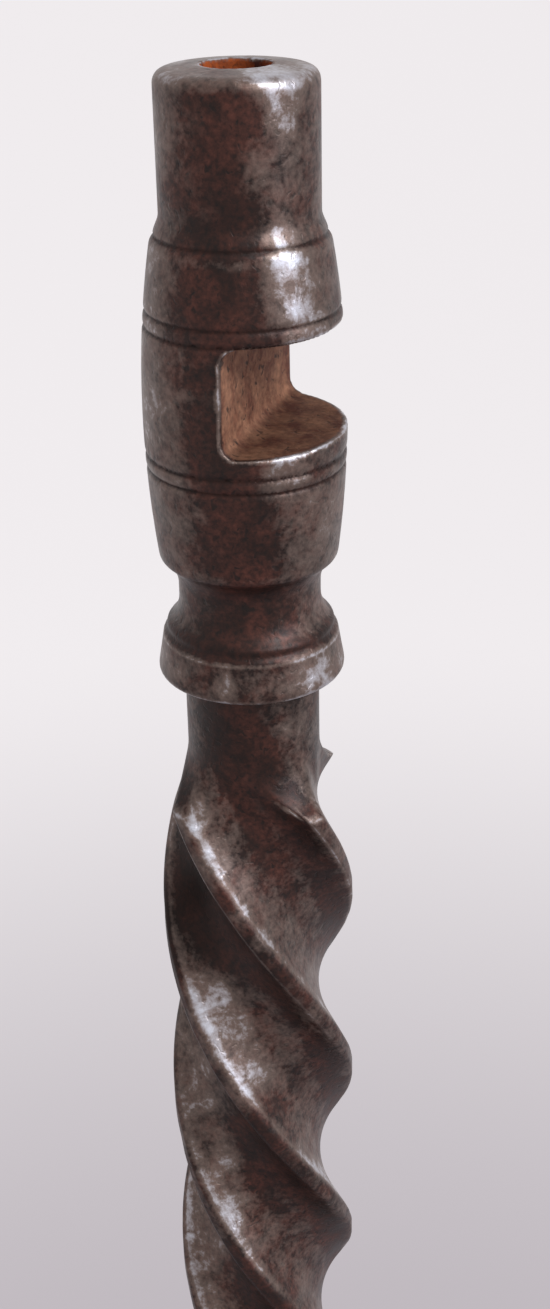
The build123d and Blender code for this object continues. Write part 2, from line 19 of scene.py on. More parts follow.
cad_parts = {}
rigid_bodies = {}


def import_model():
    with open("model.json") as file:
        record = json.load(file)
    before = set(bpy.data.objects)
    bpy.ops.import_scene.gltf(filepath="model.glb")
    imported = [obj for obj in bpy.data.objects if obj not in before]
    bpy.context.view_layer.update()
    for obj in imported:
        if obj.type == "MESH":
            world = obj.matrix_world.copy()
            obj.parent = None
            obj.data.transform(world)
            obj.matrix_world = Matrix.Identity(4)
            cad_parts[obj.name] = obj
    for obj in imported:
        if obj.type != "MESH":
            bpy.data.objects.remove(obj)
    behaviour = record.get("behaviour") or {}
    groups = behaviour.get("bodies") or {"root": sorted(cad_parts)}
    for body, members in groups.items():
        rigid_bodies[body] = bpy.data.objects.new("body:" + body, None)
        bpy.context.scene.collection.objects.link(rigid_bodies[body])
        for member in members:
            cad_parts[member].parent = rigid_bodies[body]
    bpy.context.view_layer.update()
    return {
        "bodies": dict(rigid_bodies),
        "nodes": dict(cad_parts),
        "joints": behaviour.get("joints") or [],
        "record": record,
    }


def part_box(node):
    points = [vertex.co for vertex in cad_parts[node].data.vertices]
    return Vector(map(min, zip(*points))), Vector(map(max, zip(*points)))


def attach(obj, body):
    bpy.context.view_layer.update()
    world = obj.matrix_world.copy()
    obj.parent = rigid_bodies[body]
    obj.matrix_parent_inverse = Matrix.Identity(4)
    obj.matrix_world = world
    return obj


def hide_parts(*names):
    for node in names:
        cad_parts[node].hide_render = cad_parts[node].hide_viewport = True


log = logging.getLogger("push_drill")

BMesh = bmesh.types.BMesh
Material = bpy.types.Material
Object = bpy.types.Object
Socket = bpy.types.NodeSocket
Tree = bpy.types.NodeTree
Pair = tuple[float, float]

MM = 0.001


class Attribute(Enum):
    """What a mesh records at each vertex for its material."""

    # Wear with painted light: higher is more rubbed film and bright steel, raised for painted highlights
    # and lowered for painted shade.
    WEAR_AND_PAINTED_LIGHT = "wear_and_painted_light"
    # Painted shade: in inner corners, turned lines and the notch's floor, under the ridges and on the neck.
    PAINTED_SHADE = "hollow"
    INSIDE = "inside"


# ---- Small helpers ----


def linear(hex_colour: str) -> tuple[float, float, float, float]:
    """Turn an sRGB hex colour into linear red, green, blue and alpha.

    Args:
        hex_colour: Six hex digits after a hash sign.

    Returns:
        The linear colour with an alpha of 1.
    """
    channels = [int(hex_colour[start : start + 2], 16) / 255 for start in (1, 3, 5)]
    red, green, blue = (c / 12.92 if c <= 0.04045 else ((c + 0.055) / 1.055) ** 2.4 for c in channels)
    return red, green, blue, 1.0


def ease(low: float, high: float, value: float) -> float:
    """Rise smoothly from 0 at low to 1 at high."""
    share = min(max((value - low) / (high - low), 0.0), 1.0)
    return share * share * (3 - 2 * share)


def bump(value: float, centre: float, half_width: float) -> float:
    """Rise to 1 at the centre and fall back to 0 a half width away on each side."""
    return 1.0 - ease(0.0, half_width, abs(value - centre))


def soft_min(first: float, second: float, blend: float) -> float:
    """Smaller of two lengths, rounded over a blend length where they cross."""
    share = max(blend - abs(first - second), 0.0) / blend
    return min(first, second) - share * share * blend / 4


def soft_max(first: float, second: float, blend: float) -> float:
    """Larger of two lengths, rounded over a blend length where they cross."""
    return -soft_min(-first, -second, blend)


def add_node(
    tree: Tree,
    kind: str,
    inputs: Mapping[int | str, object] | None = None,
    output: int | str = 0,
    **settings: object,
) -> Socket | None:
    """Add one node to a tree, with its settings and links.

    Args:
        tree: Tree that gets the node.
        kind: Node type without its ShaderNode prefix.
        inputs: For each input socket, a value, a hex colour or the output socket that feeds it.
        output: Name or number of the output socket that is wanted.
        settings: Values of the node's own properties.

    Returns:
        The wanted output socket, or nothing for a node without outputs.
    """
    node = tree.nodes.new(f"ShaderNode{kind}")
    for name, value in settings.items():
        setattr(node, name, value)
    for socket, value in (inputs or {}).items():
        if isinstance(value, Socket):
            tree.links.new(value, node.inputs[socket])
        else:
            node.inputs[socket].default_value = linear(value) if isinstance(value, str) else value
    return node.outputs[output] if node.outputs else None


def new_material(name: str) -> tuple[Material, Tree]:
    """Start a material whose node tree is empty.

    Args:
        name: Name of the material.

    Returns:
        The material and its tree.
    """
    material = bpy.data.materials.new(name)
    material.use_nodes = True
    material.node_tree.nodes.clear()
    return material, material.node_tree


def place_mm(tree: Tree) -> Socket:
    """Read the place on the piece in millimetres, from its Object coordinates."""
    place = add_node(tree, "TexCoord", output="Object")
    return add_node(tree, "VectorMath", {0: place, "Scale": 1 / MM}, operation="SCALE")


def dress(piece: Object, material: Material) -> None:
    """Give a piece its only material.

    Args:
        piece: Piece to dress.
        material: Its finish.
    """
    piece.data.materials.clear()
    piece.data.materials.append(material)


def mesh_data(name: str, mesh: BMesh) -> bpy.types.Mesh:
    """Write a bmesh to new mesh data and free it.

    Args:
        name: Name of the data.
        mesh: Bmesh that is written.

    Returns:
        The mesh data.
    """
    data = bpy.data.meshes.new(name)
    mesh.to_mesh(data)
    mesh.free()
    return data


def link(name: str, data: bpy.types.ID) -> Object:
    """Make an object of the data and link it to the scene.

    Args:
        name: Name of the object.
        data: Its mesh, camera or light.

    Returns:
        The object.
    """
    linked = bpy.data.objects.new(name, data)
    bpy.context.scene.collection.objects.link(linked)
    return linked


def build_piece(name: str, mesh: BMesh) -> Object:
    """Turn a finished bmesh in millimetres into a smooth-shaded object at the origin.

    Args:
        name: Name of the piece.
        mesh: Its bmesh, which is freed.

    Returns:
        The linked object.
    """
    bmesh.ops.recalc_face_normals(mesh, faces=mesh.faces)
    bmesh.ops.scale(mesh, vec=(MM, MM, MM), verts=mesh.verts)
    for face in mesh.faces:
        face.smooth = True
    return link(name, mesh_data(name, mesh))


def turn_outline(outline: Sequence[Pair], segments: int) -> BMesh:
    """Turn an outline of radii and heights round the Z axis, closed where it meets the axis.

    Args:
        outline: Radius and height of each point, in millimetres.
        segments: Number of flats round the axis.

    Returns:
        The closed bmesh.
    """
    mesh = bmesh.new()
    points = [mesh.verts.new((radius, 0.0, height)) for radius, height in outline]
    edges = [mesh.edges.new(pair) for pair in zip(points, points[1:])]
    around = {"cent": (0, 0, 0), "axis": (0, 0, 1), "dvec": (0, 0, 0), "angle": math.tau}
    bmesh.ops.spin(mesh, geom=points + edges, **around, steps=segments, use_merge=True)
    bmesh.ops.remove_doubles(mesh, verts=mesh.verts, dist=0.0005)
    return mesh


def join(mesh: BMesh, other: BMesh, copies: Sequence[Matrix] = (Matrix(),)) -> None:
    """Add copies of another bmesh to a mesh and free the other.

    Args:
        mesh: Bmesh that grows.
        other: Bmesh that is copied.
        copies: Where each copy goes.
    """
    data = mesh_data("joined", other)
    for matrix in copies:
        moved = data.copy()
        moved.transform(matrix)
        mesh.from_mesh(moved)
        bpy.data.meshes.remove(moved)
    bpy.data.meshes.remove(data)


def edge_bends(mesh: BMesh) -> dict[bmesh.types.BMVert, float]:
    """Measure how sharply the surface bends at each vertex, averaged with its neighbours.

    Args:
        mesh: Evenly spaced mesh in millimetres.

    Returns:
        For each vertex the bend: above 0 on outer edges, below 0 in inner corners.
    """
    mesh.normal_update()
    bends = {}
    for vertex in mesh.verts:
        steps = [vertex.co - edge.other_vert(vertex).co for edge in vertex.link_edges]
        bends[vertex] = sum(step.normalized().dot(vertex.normal) for step in steps) / max(len(steps), 1)
    return {
        vertex: (bend + sum(bends[edge.other_vert(vertex)] for edge in vertex.link_edges))
        / (1 + len(vertex.link_edges))
        for vertex, bend in bends.items()
    }


# ---- Finishes ----

# A Mix node of colours: its settings, and its sockets for the share and the two colours.
COLOURS = {"output": 2, "data_type": "RGBA"}
SHARE, UNDER, OVER = 0, 6, 7


@dataclass(frozen=True)
class Grain:
    """Noise whose features have a real size in millimetres."""

    size_mm: float
    detail: float = 2.0
    roughness: float = 0.5
    distortion: float = 0.0

    def of(self, place: Socket) -> dict[str, object]:
        """Inputs of a TexNoise node at a place in millimetres."""
        return {
            "Vector": place,
            "Scale": 1 / self.size_mm,
            "Detail": self.detail,
            "Roughness": self.roughness,
            "Distortion": self.distortion,
        }


@dataclass(frozen=True)
class Ramp:
    """Straight change from one level to another while a value goes from low to high."""

    low: float
    high: float
    at_low: float = 0.0
    at_high: float = 1.0

    def of(self, value: Socket) -> dict[str, object]:
        """Inputs of a MapRange node, in their order."""
        return dict(enumerate((value, self.low, self.high, self.at_low, self.at_high)))


@dataclass(frozen=True)
class BrownedSteel:
    """Forged and filed steel, browned by slow rust and oiling, then rubbed bright by use.

    The oxide is so thin that part of the metal's reflection comes through it, in dark umber and
    plum, and an oily trace on it reflects without colour. Where it is rubbed thin it is a grey-brown
    film in ragged clouds, and where it is gone, as on edges, the steel is bright; this film and bright
    steel also paint highlights and reflections. Rust pits are a near-black brown, and so is the
    painted shade in creases, corners and under the ridges, which also loses most of its reflection.
    The notch has dry tan rust, and the bore, which nothing cleans, has orange rust.
    """

    name: str = "browned_steel"
    umber: str = "#220e08"
    plum: str = "#41221a"
    # Near-black brown of rust pits, and of painted shade.
    pit_and_shade: str = "#130906"
    tan: str = "#835c46"
    earth: str = "#4f281b"
    orange: str = "#b2541b"
    burnt: str = "#3d150b"
    film: str = "#7a6a62"
    steel: str = "#bcbdc5"

    # Clouds of the browning, patches of wear and rust, flecks of scale, and rust pits.
    cloud: Grain = Grain(2.6, detail=4.0, roughness=0.62, distortion=0.5)
    patch: Grain = Grain(1.5, detail=5.0, roughness=0.66, distortion=0.3)
    fleck: Grain = Grain(0.34, roughness=0.6)
    pit: Grain = Grain(0.55, detail=1.0, distortion=0.6)

    # Colour of what covers the steel. Flecks shade all of the oxide, and the rust in part.
    plum_share: Ramp = Ramp(0.40, 0.62)
    earth_share: Ramp = Ramp(0.36, 0.64)
    fleck_shade: Ramp = Ramp(0.3, 0.7, 0.4, 1.65)
    rust_shading: float = 0.45
    notch_share: Ramp = Ramp(0.05, 0.45)
    bore_share: Ramp = Ramp(0.6, 0.95)
    pit_share: Ramp = Ramp(0.63, 0.72, 0.0, 0.8)

    # Wear and painted light. Patches and flecks raise and lower its record, up to half of these numbers.
    patch_raggedness: float = 1.6
    fleck_raggedness: float = 0.6
    touched: Ramp = Ramp(0.02, 0.2)
    thin_share: Ramp = Ramp(0.10, 0.95)
    bare_share: Ramp = Ramp(0.68, 1.25)

    # Reflection, over the inside record, the painted shade record and the clouds.
    metallic: Ramp = Ramp(0.05, 0.4, 0.5, 0.0)
    oil_coat: Ramp = Ramp(0.05, 0.4, 0.16, 0.0)
    rust_roughness: Ramp = Ramp(0.05, 0.4, 0.0, 0.35)
    # Share of reflection kept under painted shade: all of it where there is none, a tenth under full shade.
    clean: Ramp = Ramp(0.0, 1.0, 1.0, 0.1)
    oxide_roughness: Ramp = Ramp(0.35, 0.65, 0.40, 0.52)
    thin_metallic: float = 0.25
    thin_roughness: float = -0.07
    specular: float = 0.34
    oil_roughness: float = 0.36

    # Relief.
    pock_depth: Ramp = Ramp(0.62, 0.72)
    patch_relief: float = 1.3
    relief_mm: float = 0.05

    def signals(self, tree: Tree) -> dict[str, Socket]:
        """Add the noises and read the mesh's records.

        Args:
            tree: The material's tree.

        Returns:
            The socket of each, by name.
        """
        place = place_mm(tree)
        grains = {"cloud": self.cloud, "patch": self.patch, "fleck": self.fleck, "pit": self.pit}
        signals = {name: add_node(tree, "TexNoise", grain.of(place)) for name, grain in grains.items()}
        for kind in Attribute:
            signals[kind.value] = add_node(tree, "Attribute", output="Fac", attribute_name=kind.value)
        return signals

    def cover(self, tree: Tree, signals: Mapping[str, Socket]) -> Socket:
        """Colour the covered surface: oxide outside, tan rust in the notch, orange in the bore, and
        near-black brown in rust pits and painted shade.

        Args:
            tree: The material's tree.
            signals: Sockets of the noises and of the mesh's records.

        Returns:
            The colour's socket.
        """
        plum = add_node(tree, "MapRange", self.plum_share.of(signals["cloud"]))
        earth = add_node(tree, "MapRange", self.earth_share.of(signals["patch"]))
        shade = add_node(tree, "MapRange", self.fleck_shade.of(signals["fleck"]))
        notch = add_node(tree, "MapRange", self.notch_share.of(signals["inside"]))
        bore = add_node(tree, "MapRange", self.bore_share.of(signals["inside"]))
        pits = add_node(tree, "MapRange", self.pit_share.of(signals["pit"]))
        # Rust pits, and painted shade from the mesh's record, take the near-black brown.
        dark = add_node(tree, "Math", {0: pits, 1: signals["hollow"]}, operation="MAXIMUM")
        oxide, tan, orange = (
            add_node(tree, "Mix", {SHARE: share, UNDER: under, OVER: over}, **COLOURS)
            for share, under, over in (
                (plum, self.umber, self.plum),
                (earth, self.tan, self.earth),
                (earth, self.orange, self.burnt),
            )
        )
        shading = COLOURS | {"blend_type": "MULTIPLY"}
        colour, tan = (
            add_node(tree, "Mix", {SHARE: share, UNDER: plain, OVER: shade}, **shading)
            for share, plain in ((1.0, oxide), (self.rust_shading, tan))
        )
        for share, over in ((notch, tan), (bore, orange), (dark, self.pit_and_shade)):
            mix = {SHARE: share, UNDER: colour, OVER: over}
            colour = add_node(tree, "Mix", mix, **COLOURS)
        return colour

    def reflection(self, tree: Tree, signals: Mapping[str, Socket], thin: Socket) -> dict[str, Socket]:
        """Set the gloss: dry rust inside is matt, and painted shade takes away most of the metal's and the
        coat's reflection.

        Args:
            tree: The material's tree.
            signals: Sockets of the noises and of the mesh's records.
            thin: Socket of the share of thin oxide, which is more metallic and a little smoother.

        Returns:
            The shader's inputs.
        """
        inside = signals["inside"]
        # Painted shade takes away most of the reflection.
        clean = add_node(tree, "MapRange", self.clean.of(signals["hollow"]))
        metal = {0: thin, 1: self.thin_metallic, 2: add_node(tree, "MapRange", self.metallic.of(inside))}
        levels = {
            "Metallic": add_node(tree, "Math", metal, operation="MULTIPLY_ADD", use_clamp=True),
            "Coat Weight": add_node(tree, "MapRange", self.oil_coat.of(inside)),
            "Specular IOR Level": self.specular,
        }
        inputs = {
            name: add_node(tree, "Math", {0: level, 1: clean}, operation="MULTIPLY")
            for name, level in levels.items()
        }
        oxide = add_node(tree, "MapRange", self.oxide_roughness.of(signals["cloud"]))
        rust = add_node(tree, "MapRange", self.rust_roughness.of(inside))
        smooth = {0: thin, 1: self.thin_roughness, 2: oxide}
        rough = {0: add_node(tree, "Math", smooth, operation="MULTIPLY_ADD"), 1: rust}
        inputs["Roughness"] = add_node(tree, "Math", rough, operation="ADD")
        return inputs | {"Coat Roughness": self.oil_roughness}

    def build(self) -> Material:
        """Make the node material.

        Returns:
            The material, which reads its piece's attributes: wear with painted light, painted shade, and
            how far inside a point is.
        """
        material, tree = new_material(self.name)
        signals = self.signals(tree)
        ragged = signals["wear_and_painted_light"]
        for name, strength in (("patch", self.patch_raggedness), ("fleck", self.fleck_raggedness)):
            shift = {0: signals[name], 1: strength, 2: -strength / 2}
            shifted = add_node(tree, "Math", shift, operation="MULTIPLY_ADD")
            ragged = add_node(tree, "Math", {0: ragged, 1: shifted}, operation="ADD")
        touched = add_node(tree, "MapRange", self.touched.of(signals["wear_and_painted_light"]))
        colour = self.cover(tree, signals)
        shares = []
        # Film and bright steel show rubbed wear, and also painted highlights and reflections where the
        # record has them.
        for ramp, over in ((self.thin_share, self.film), (self.bare_share, self.steel)):
            share = {0: add_node(tree, "MapRange", ramp.of(ragged)), 1: touched}
            shares.append(add_node(tree, "Math", share, operation="MULTIPLY"))
            mix = {SHARE: shares[-1], UNDER: colour, OVER: over}
            colour = add_node(tree, "Mix", mix, **COLOURS)

        raised = {0: signals["patch"], 1: self.patch_relief, 2: signals["fleck"]}
        pocked = {
            0: add_node(tree, "Math", raised, operation="MULTIPLY_ADD"),
            1: add_node(tree, "MapRange", self.pock_depth.of(signals["pit"])),
        }
        height = add_node(tree, "Math", pocked, operation="SUBTRACT")
        relief = {"Height": height, "Strength": 0.4, "Distance": self.relief_mm * MM}
        inputs = self.reflection(tree, signals, shares[0])
        inputs |= {"Base Color": colour, "Normal": add_node(tree, "Bump", relief)}
        shader = add_node(tree, "BsdfPrincipled", inputs)
        add_node(tree, "OutputMaterial", {"Surface": shader})
        return material


@dataclass(frozen=True)
class TurnedMetal:
    """Metal turned on a lathe and darkened by handling, with faint turning lines round Z."""

    name: str
    clean: str
    tarnish: str
    metallic: float
    stain_mm: float
    lines: Grain = Grain(0.25)
    line_stretch: float = 0.05
    tarnish_share: Ramp = Ramp(0.2, 0.8)
    roughness: Ramp = Ramp(0.3, 0.7, 0.30, 0.46)
    line_depth_mm: float = 0.02

    def build(self) -> Material:
        """Make the node material.

        Returns:
            The material.
        """
        material, tree = new_material(self.name)
        place = place_mm(tree)
        stretch = (self.line_stretch, self.line_stretch, 1.0)
        round_z = add_node(tree, "VectorMath", {0: place, 1: stretch}, operation="MULTIPLY")
        stains = Grain(self.stain_mm, detail=5.0, roughness=0.65, distortion=0.4)
        stain = add_node(tree, "TexNoise", stains.of(place))
        lines = add_node(tree, "TexNoise", self.lines.of(round_z))
        share = add_node(tree, "MapRange", self.tarnish_share.of(stain))
        colour = {SHARE: share, UNDER: self.clean, OVER: self.tarnish}
        depth = self.line_depth_mm * MM
        inputs = {
            "Base Color": add_node(tree, "Mix", colour, **COLOURS),
            "Metallic": self.metallic,
            "Roughness": add_node(tree, "MapRange", self.roughness.of(stain)),
            "Normal": add_node(tree, "Bump", {"Height": lines, "Strength": 0.25, "Distance": depth}),
        }
        shader = add_node(tree, "BsdfPrincipled", inputs)
        add_node(tree, "OutputMaterial", {"Surface": shader})
        return material


@dataclass(frozen=True)
class WaxedHardwood:
    """Hardwood turned along its grain, stained and waxed: fibres and pores run along Z."""

    name: str
    light: str
    dark: str
    pith_mm: Pair
    pore: str = "#24120b"
    ring_mm: float = 2.6
    ring_stretch: float = 0.12
    ring_tone: float = 0.45
    fibre_stretch: float = 0.035
    fibres: Grain = Grain(0.35, detail=3.0, roughness=0.65)
    pores: Grain = Grain(0.22, detail=1.0)
    handling: Grain = Grain(9.0)
    dark_share: Ramp = Ramp(0.35, 1.1)
    pore_share: Ramp = Ramp(0.60, 0.70, 0.0, 0.75)
    roughness: Ramp = Ramp(0.3, 0.7, 0.34, 0.48)
    pore_depth_mm: float = 0.04
    wax_weight: float = 0.25
    wax_roughness: float = 0.3

    def rings(self, tree: Tree, place: Socket) -> Socket:
        """Add the growth rings round the pith, drawn out along the wood.

        Args:
            tree: The material's tree.
            place: Socket of the place in millimetres.

        Returns:
            The rings' socket.
        """
        inputs = {"Vector": place, "Location": (*self.pith_mm, 0.0), "Scale": (1.0, 1.0, self.ring_stretch)}
        wave = {
            "Vector": add_node(tree, "Mapping", inputs),
            # A ring wave repeats every pi / 10 units, so its scale is that share of the ring's width.
            "Scale": math.pi / 10 / self.ring_mm,
            "Distortion": 2.2,
            "Detail": 2.0,
            "Detail Scale": 0.12,
            "Detail Roughness": 0.5,
        }
        style = {"wave_type": "RINGS", "rings_direction": "Z", "wave_profile": "SAW"}
        return add_node(tree, "TexWave", wave, "Fac", **style)

    def build(self) -> Material:
        """Make the node material.

        Returns:
            The material.
        """
        material, tree = new_material(self.name)
        place = place_mm(tree)
        stretch = (1.0, 1.0, self.fibre_stretch)
        along = add_node(tree, "VectorMath", {0: place, 1: stretch}, operation="MULTIPLY")
        fibres = add_node(tree, "TexNoise", self.fibres.of(along))
        pores = add_node(tree, "TexNoise", self.pores.of(along))
        handling = add_node(tree, "TexNoise", self.handling.of(place))
        tones = {0: self.rings(tree, place), 1: self.ring_tone, 2: fibres}
        tone = add_node(tree, "Math", tones, operation="MULTIPLY_ADD")
        dark = add_node(tree, "MapRange", self.dark_share.of(tone))
        pores = add_node(tree, "MapRange", self.pore_share.of(pores))
        colour = self.light
        for share, over in ((dark, self.dark), (pores, self.pore)):
            mix = {SHARE: share, UNDER: colour, OVER: over}
            colour = add_node(tree, "Mix", mix, **COLOURS)
        height = add_node(tree, "Math", {0: fibres, 1: pores}, operation="SUBTRACT")
        depth = self.pore_depth_mm * MM
        inputs = {
            "Base Color": colour,
            "Roughness": add_node(tree, "MapRange", self.roughness.of(handling)),
            "Coat Weight": self.wax_weight,
            "Coat Roughness": self.wax_roughness,
            "Normal": add_node(tree, "Bump", {"Height": height, "Strength": 0.3, "Distance": depth}),
        }
        shader = add_node(tree, "BsdfPrincipled", inputs)
        add_node(tree, "OutputMaterial", {"Surface": shader})
        return material


@dataclass(frozen=True)
class OiledLeather:
    """Vegetable-tanned leather cut from thick hide, dark with oil: fine grain, darker pores."""

    name: str = "oiled_leather"
    hide: str = "#5a3a26"
    oiled: str = "#33201a"
    grain_mm: float = 0.5
    fold_share: Ramp = Ramp(0.2, 0.7)
    fold_tone: float = 0.5
    fold_depth_mm: float = 0.06
    stain: Grain = Grain(4.0, detail=3.0)
    stain_share: Ramp = Ramp(0.35, 0.65)
    roughness: Ramp = Ramp(0.3, 0.7, 0.5, 0.68)

    def build(self) -> Material:
        """Make the node material.

        Returns:
            The material.
        """
        material, tree = new_material(self.name)
        place = place_mm(tree)
        cells = add_node(tree, "TexVoronoi", {"Vector": place, "Scale": 1 / self.grain_mm})
        stain = add_node(tree, "TexNoise", self.stain.of(place))
        folds = add_node(tree, "MapRange", self.fold_share.of(cells))
        tones = {0: folds, 1: self.fold_tone, 2: add_node(tree, "MapRange", self.stain_share.of(stain))}
        share = add_node(tree, "Math", tones, operation="MULTIPLY_ADD", use_clamp=True)
        colour = {SHARE: share, UNDER: self.hide, OVER: self.oiled}
        depth = -self.fold_depth_mm * MM
        inputs = {
            "Base Color": add_node(tree, "Mix", colour, **COLOURS),
            "Roughness": add_node(tree, "MapRange", self.roughness.of(stain)),
            "Normal": add_node(tree, "Bump", {"Height": folds, "Strength": 0.4, "Distance": depth}),
        }
        shader = add_node(tree, "BsdfPrincipled", inputs)
        add_node(tree, "OutputMaterial", {"Surface": shader})
        return material


# ---- Wear and painted light ----

# Wear by the hand's light touch, and painted light round the drill: the film is least on one side
# and grows round from it, so that side is darker and the sides left and right of it are lighter.
HAND_WEAR = 0.25
DARK_SIDE_WEAR = 0.03
DARK_SIDE_AZIMUTH_DEG = -78.0
DARK_SIDE_HALF_WIDTH_DEG = 68.0


def facing(place: Vector, azimuth_deg: float, half_width_deg: float) -> float:
    """How nearly a point's azimuth is the given one: 1 at it, 0 from the half-width on."""
    turn = math.degrees(math.atan2(place.y, place.x)) - azimuth_deg
    return bump((turn + 180) % 360 - 180, 0.0, half_width_deg)


def handled(place: Vector) -> float:
    """Thin overall wear at a point, with painted light: least on the darker side, more round it."""
    brown = facing(place, DARK_SIDE_AZIMUTH_DEG, DARK_SIDE_HALF_WIDTH_DEG)
    return HAND_WEAR - (HAND_WEAR - DARK_SIDE_WEAR) * brown


@dataclass(frozen=True)
class WearAndLightSpot:
    """A spot of rubbed wear and painted highlight, or of painted shade: its level below the mouth, azimuth,
    size and strength.
    """

    level: float
    azimuth_deg: float
    size: float
    strength: float
    flat_share: float = 0.2
    height_weight: float = 0.75

    def wear(self, level: float, place: Vector) -> float:
        """How far the spot reaches a point.

        Args:
            level: Level of the point below the mouth.
            place: The point itself, in millimetres.

        Returns:
            The spot's strength at its middle, falling softly to 0 at its size.
        """
        if abs(level - self.level) >= self.size / self.height_weight:
            return 0.0
        turn = math.atan2(place.y, place.x) - math.radians(self.azimuth_deg)
        across = math.hypot(place.x, place.y) * math.atan2(math.sin(turn), math.cos(turn))
        distance = math.hypot(across, self.height_weight * (level - self.level))
        return self.strength * (1 - ease(self.flat_share * self.size, self.size, distance))


@dataclass(frozen=True)
class WearAndLightBand:
    """A strip along each ridge, in degrees off its crest, or a ring round the socket at a level; the
    ridges' strips carry painted light as well as wear.
    """

    centre: float
    half_width: float
    strength: float

    def wear(self, at: float, extra: float = 0.0) -> float:
        """Strength at a place across the band, with what a patch adds or takes."""
        return max(self.strength + extra, 0.0) * bump(at, self.centre, self.half_width)


# ---- Sub-assemblies ----


@dataclass
class TwistedSpindle:
    """Drive spindle: a bar with four left-hand ridges that flare out of a plain neck.

    Its cutter left a crisp edge on the lower side of each ridge, and the nut has rounded and
    brightened the upper side, which it bears on when the tool is pushed. Painted highlights run along
    the upper edges and flanks as well, and painted shade lies under each ridge. The heights come from
    the frame: the ridges stand between the bearing and the socket's collar.
    """

    patina: Material
    ridge_count: int = 4
    ridge_r: float = 6.52
    floor_r: float = 4.14
    cutter_r: float = 10.05
    lead: float = 62.245
    angle_at_top: float = 63.0
    lower_round: float = 0.3
    upper_round: float = 0.85
    neck_r: float = 4.3
    neck_length: float = 5.2
    flare_length: float = 3.8
    flare_round: float = 0.25
    ridge_edge: float = 0.35
    runout_r: float = 4.25
    runout_length: float = 8.2
    runout_taper: float = 3.0
    runout_round: float = 0.08
    core_cover: float = 0.3
    end_chamfer: float = 1.2
    chamfer_round: float = 0.2
    journal_r: float = 4.1
    groove_r: float = 2.9
    end_round: float = 2.4
    tenon_r: float = 2.9
    tenon_length: float = 10.0
    shoulder_gap: float = 0.5
    pin_clearance: float = 0.2

    # Dents that other tools have made in the ridges.
    dent_mm: float = 2.857
    dent_depth: float = 0.06
    dent_noise: Pair = (0.1, 0.7)

    # Wear and painted light along the ridges, in patches, from where they are fully formed. The lit
    # side of each flute, the upper and lower edges and the flank get painted highlights as well as wear,
    # the flute's lower side is kept darker as painted shade, and one side of the bar gets a painted
    # highlight. The lower edge is only rubbed near the top.
    patch_mm: float = 6.25
    film_patches: float = 0.10
    edge_patches: float = 0.5
    lit_flute: WearAndLightBand = WearAndLightBand(24.0, 20.0, 0.20)
    shaded_flute: WearAndLightBand = WearAndLightBand(-16.0, 14.0, 0.25)
    upper_edge: WearAndLightBand = WearAndLightBand(7.3, 3.2, 0.42)
    lower_edge: WearAndLightBand = WearAndLightBand(-5.5, 1.5, 0.5)
    flank: WearAndLightBand = WearAndLightBand(12.0, 8.0, 0.16)
    formed_below: Pair = (7.2, 8.8)
    lower_edge_ends: Pair = (12.0, 40.0)
    highlight_side: Pair = (-88.0, 60.0)
    highlight_side_wear: float = 0.26
    # The neck keeps less of the film, which adds to its painted shade.
    neck_cover: float = 0.45
    tip_wear: float = 0.95

    # Painted shade: on the flutes' floors, under each ridge, on the neck and in the stains, which are
    # two painted shade spots that also keep the film off.
    under_ridge_shade: WearAndLightBand = WearAndLightBand(-9.0, 13.0, 0.45)
    flute_floor_shade: float = 0.12
    flute_floor_shade_depth: float = 0.45
    neck_shade: float = 0.25
    shade_spot_cover: float = 0.7
    # The spots are painted highlights along the ridges, drawn as rubbed film and bright steel.
    # Level, azimuth, size and strength of each spot.
    spots: tuple[WearAndLightSpot, ...] = tuple(
        WearAndLightSpot(*row)
        for row in (
            (46.3, -116.0, 1.7, 0.45), (49.2, -102.0, 1.8, 0.40), (52.2, -79.0, 1.6, 0.28),
            (54.5, -65.0, 1.6, 0.24), (60.9, -108.0, 1.9, 0.45), (63.8, -98.0, 2.0, 0.45),
            (66.9, -83.0, 2.3, 0.42), (75.4, -106.0, 1.7, 0.32), (79.7, -98.0, 1.8, 0.30),
            (70.9, -138.0, 4.2, 0.19), (84.0, -126.0, 4.0, 0.17), (63.7, -59.0, 5.0, 0.28),
            (40.0, -22.0, 3.0, 0.18),
        )
    )
    # Two painted shade spots on the left flank: they add to the painted shade record and keep the film off.
    stains: tuple[WearAndLightSpot, ...] = (WearAndLightSpot(50.0, -138.0, 5.0, 0.65), WearAndLightSpot(56.0, -134.0, 4.5, 0.60))
    section_points: int = 136
    stretches: int = 16
    stretch_steps: int = 40
    crest_crowding: float = 0.55

    def __post_init__(self) -> None:
        """Read the heights that the other pieces set, and work out the sweep from them."""
        self.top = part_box("bit_socket")[1].z / MM
        self.collar_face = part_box("bit_socket")[0].z / MM
        self.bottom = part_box("spindle")[0].z / MM
        self.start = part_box("bearing_housing")[1].z / MM + self.shoulder_gap
        pin_low, pin_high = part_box("retaining_pins")
        self.pin_level = (pin_low.z + pin_high.z) / 2 / MM
        self.pin_half = (pin_high.z - pin_low.z) / 2 / MM + self.pin_clearance
        self.first_angle = math.radians(self.angle_at_top) + math.tau * (self.top - self.start) / self.lead
        self.stretch_length = (self.collar_face - self.start) / self.stretches
        self.stretch_turn = -math.tau * self.stretch_length / self.lead

    def off_crest(self, angle: float) -> float:
        """Angle from the nearest crest, in radians, above 0 on the crest's upper side."""
        pitch = math.tau / self.ridge_count
        return (angle + pitch / 2) % pitch - pitch / 2

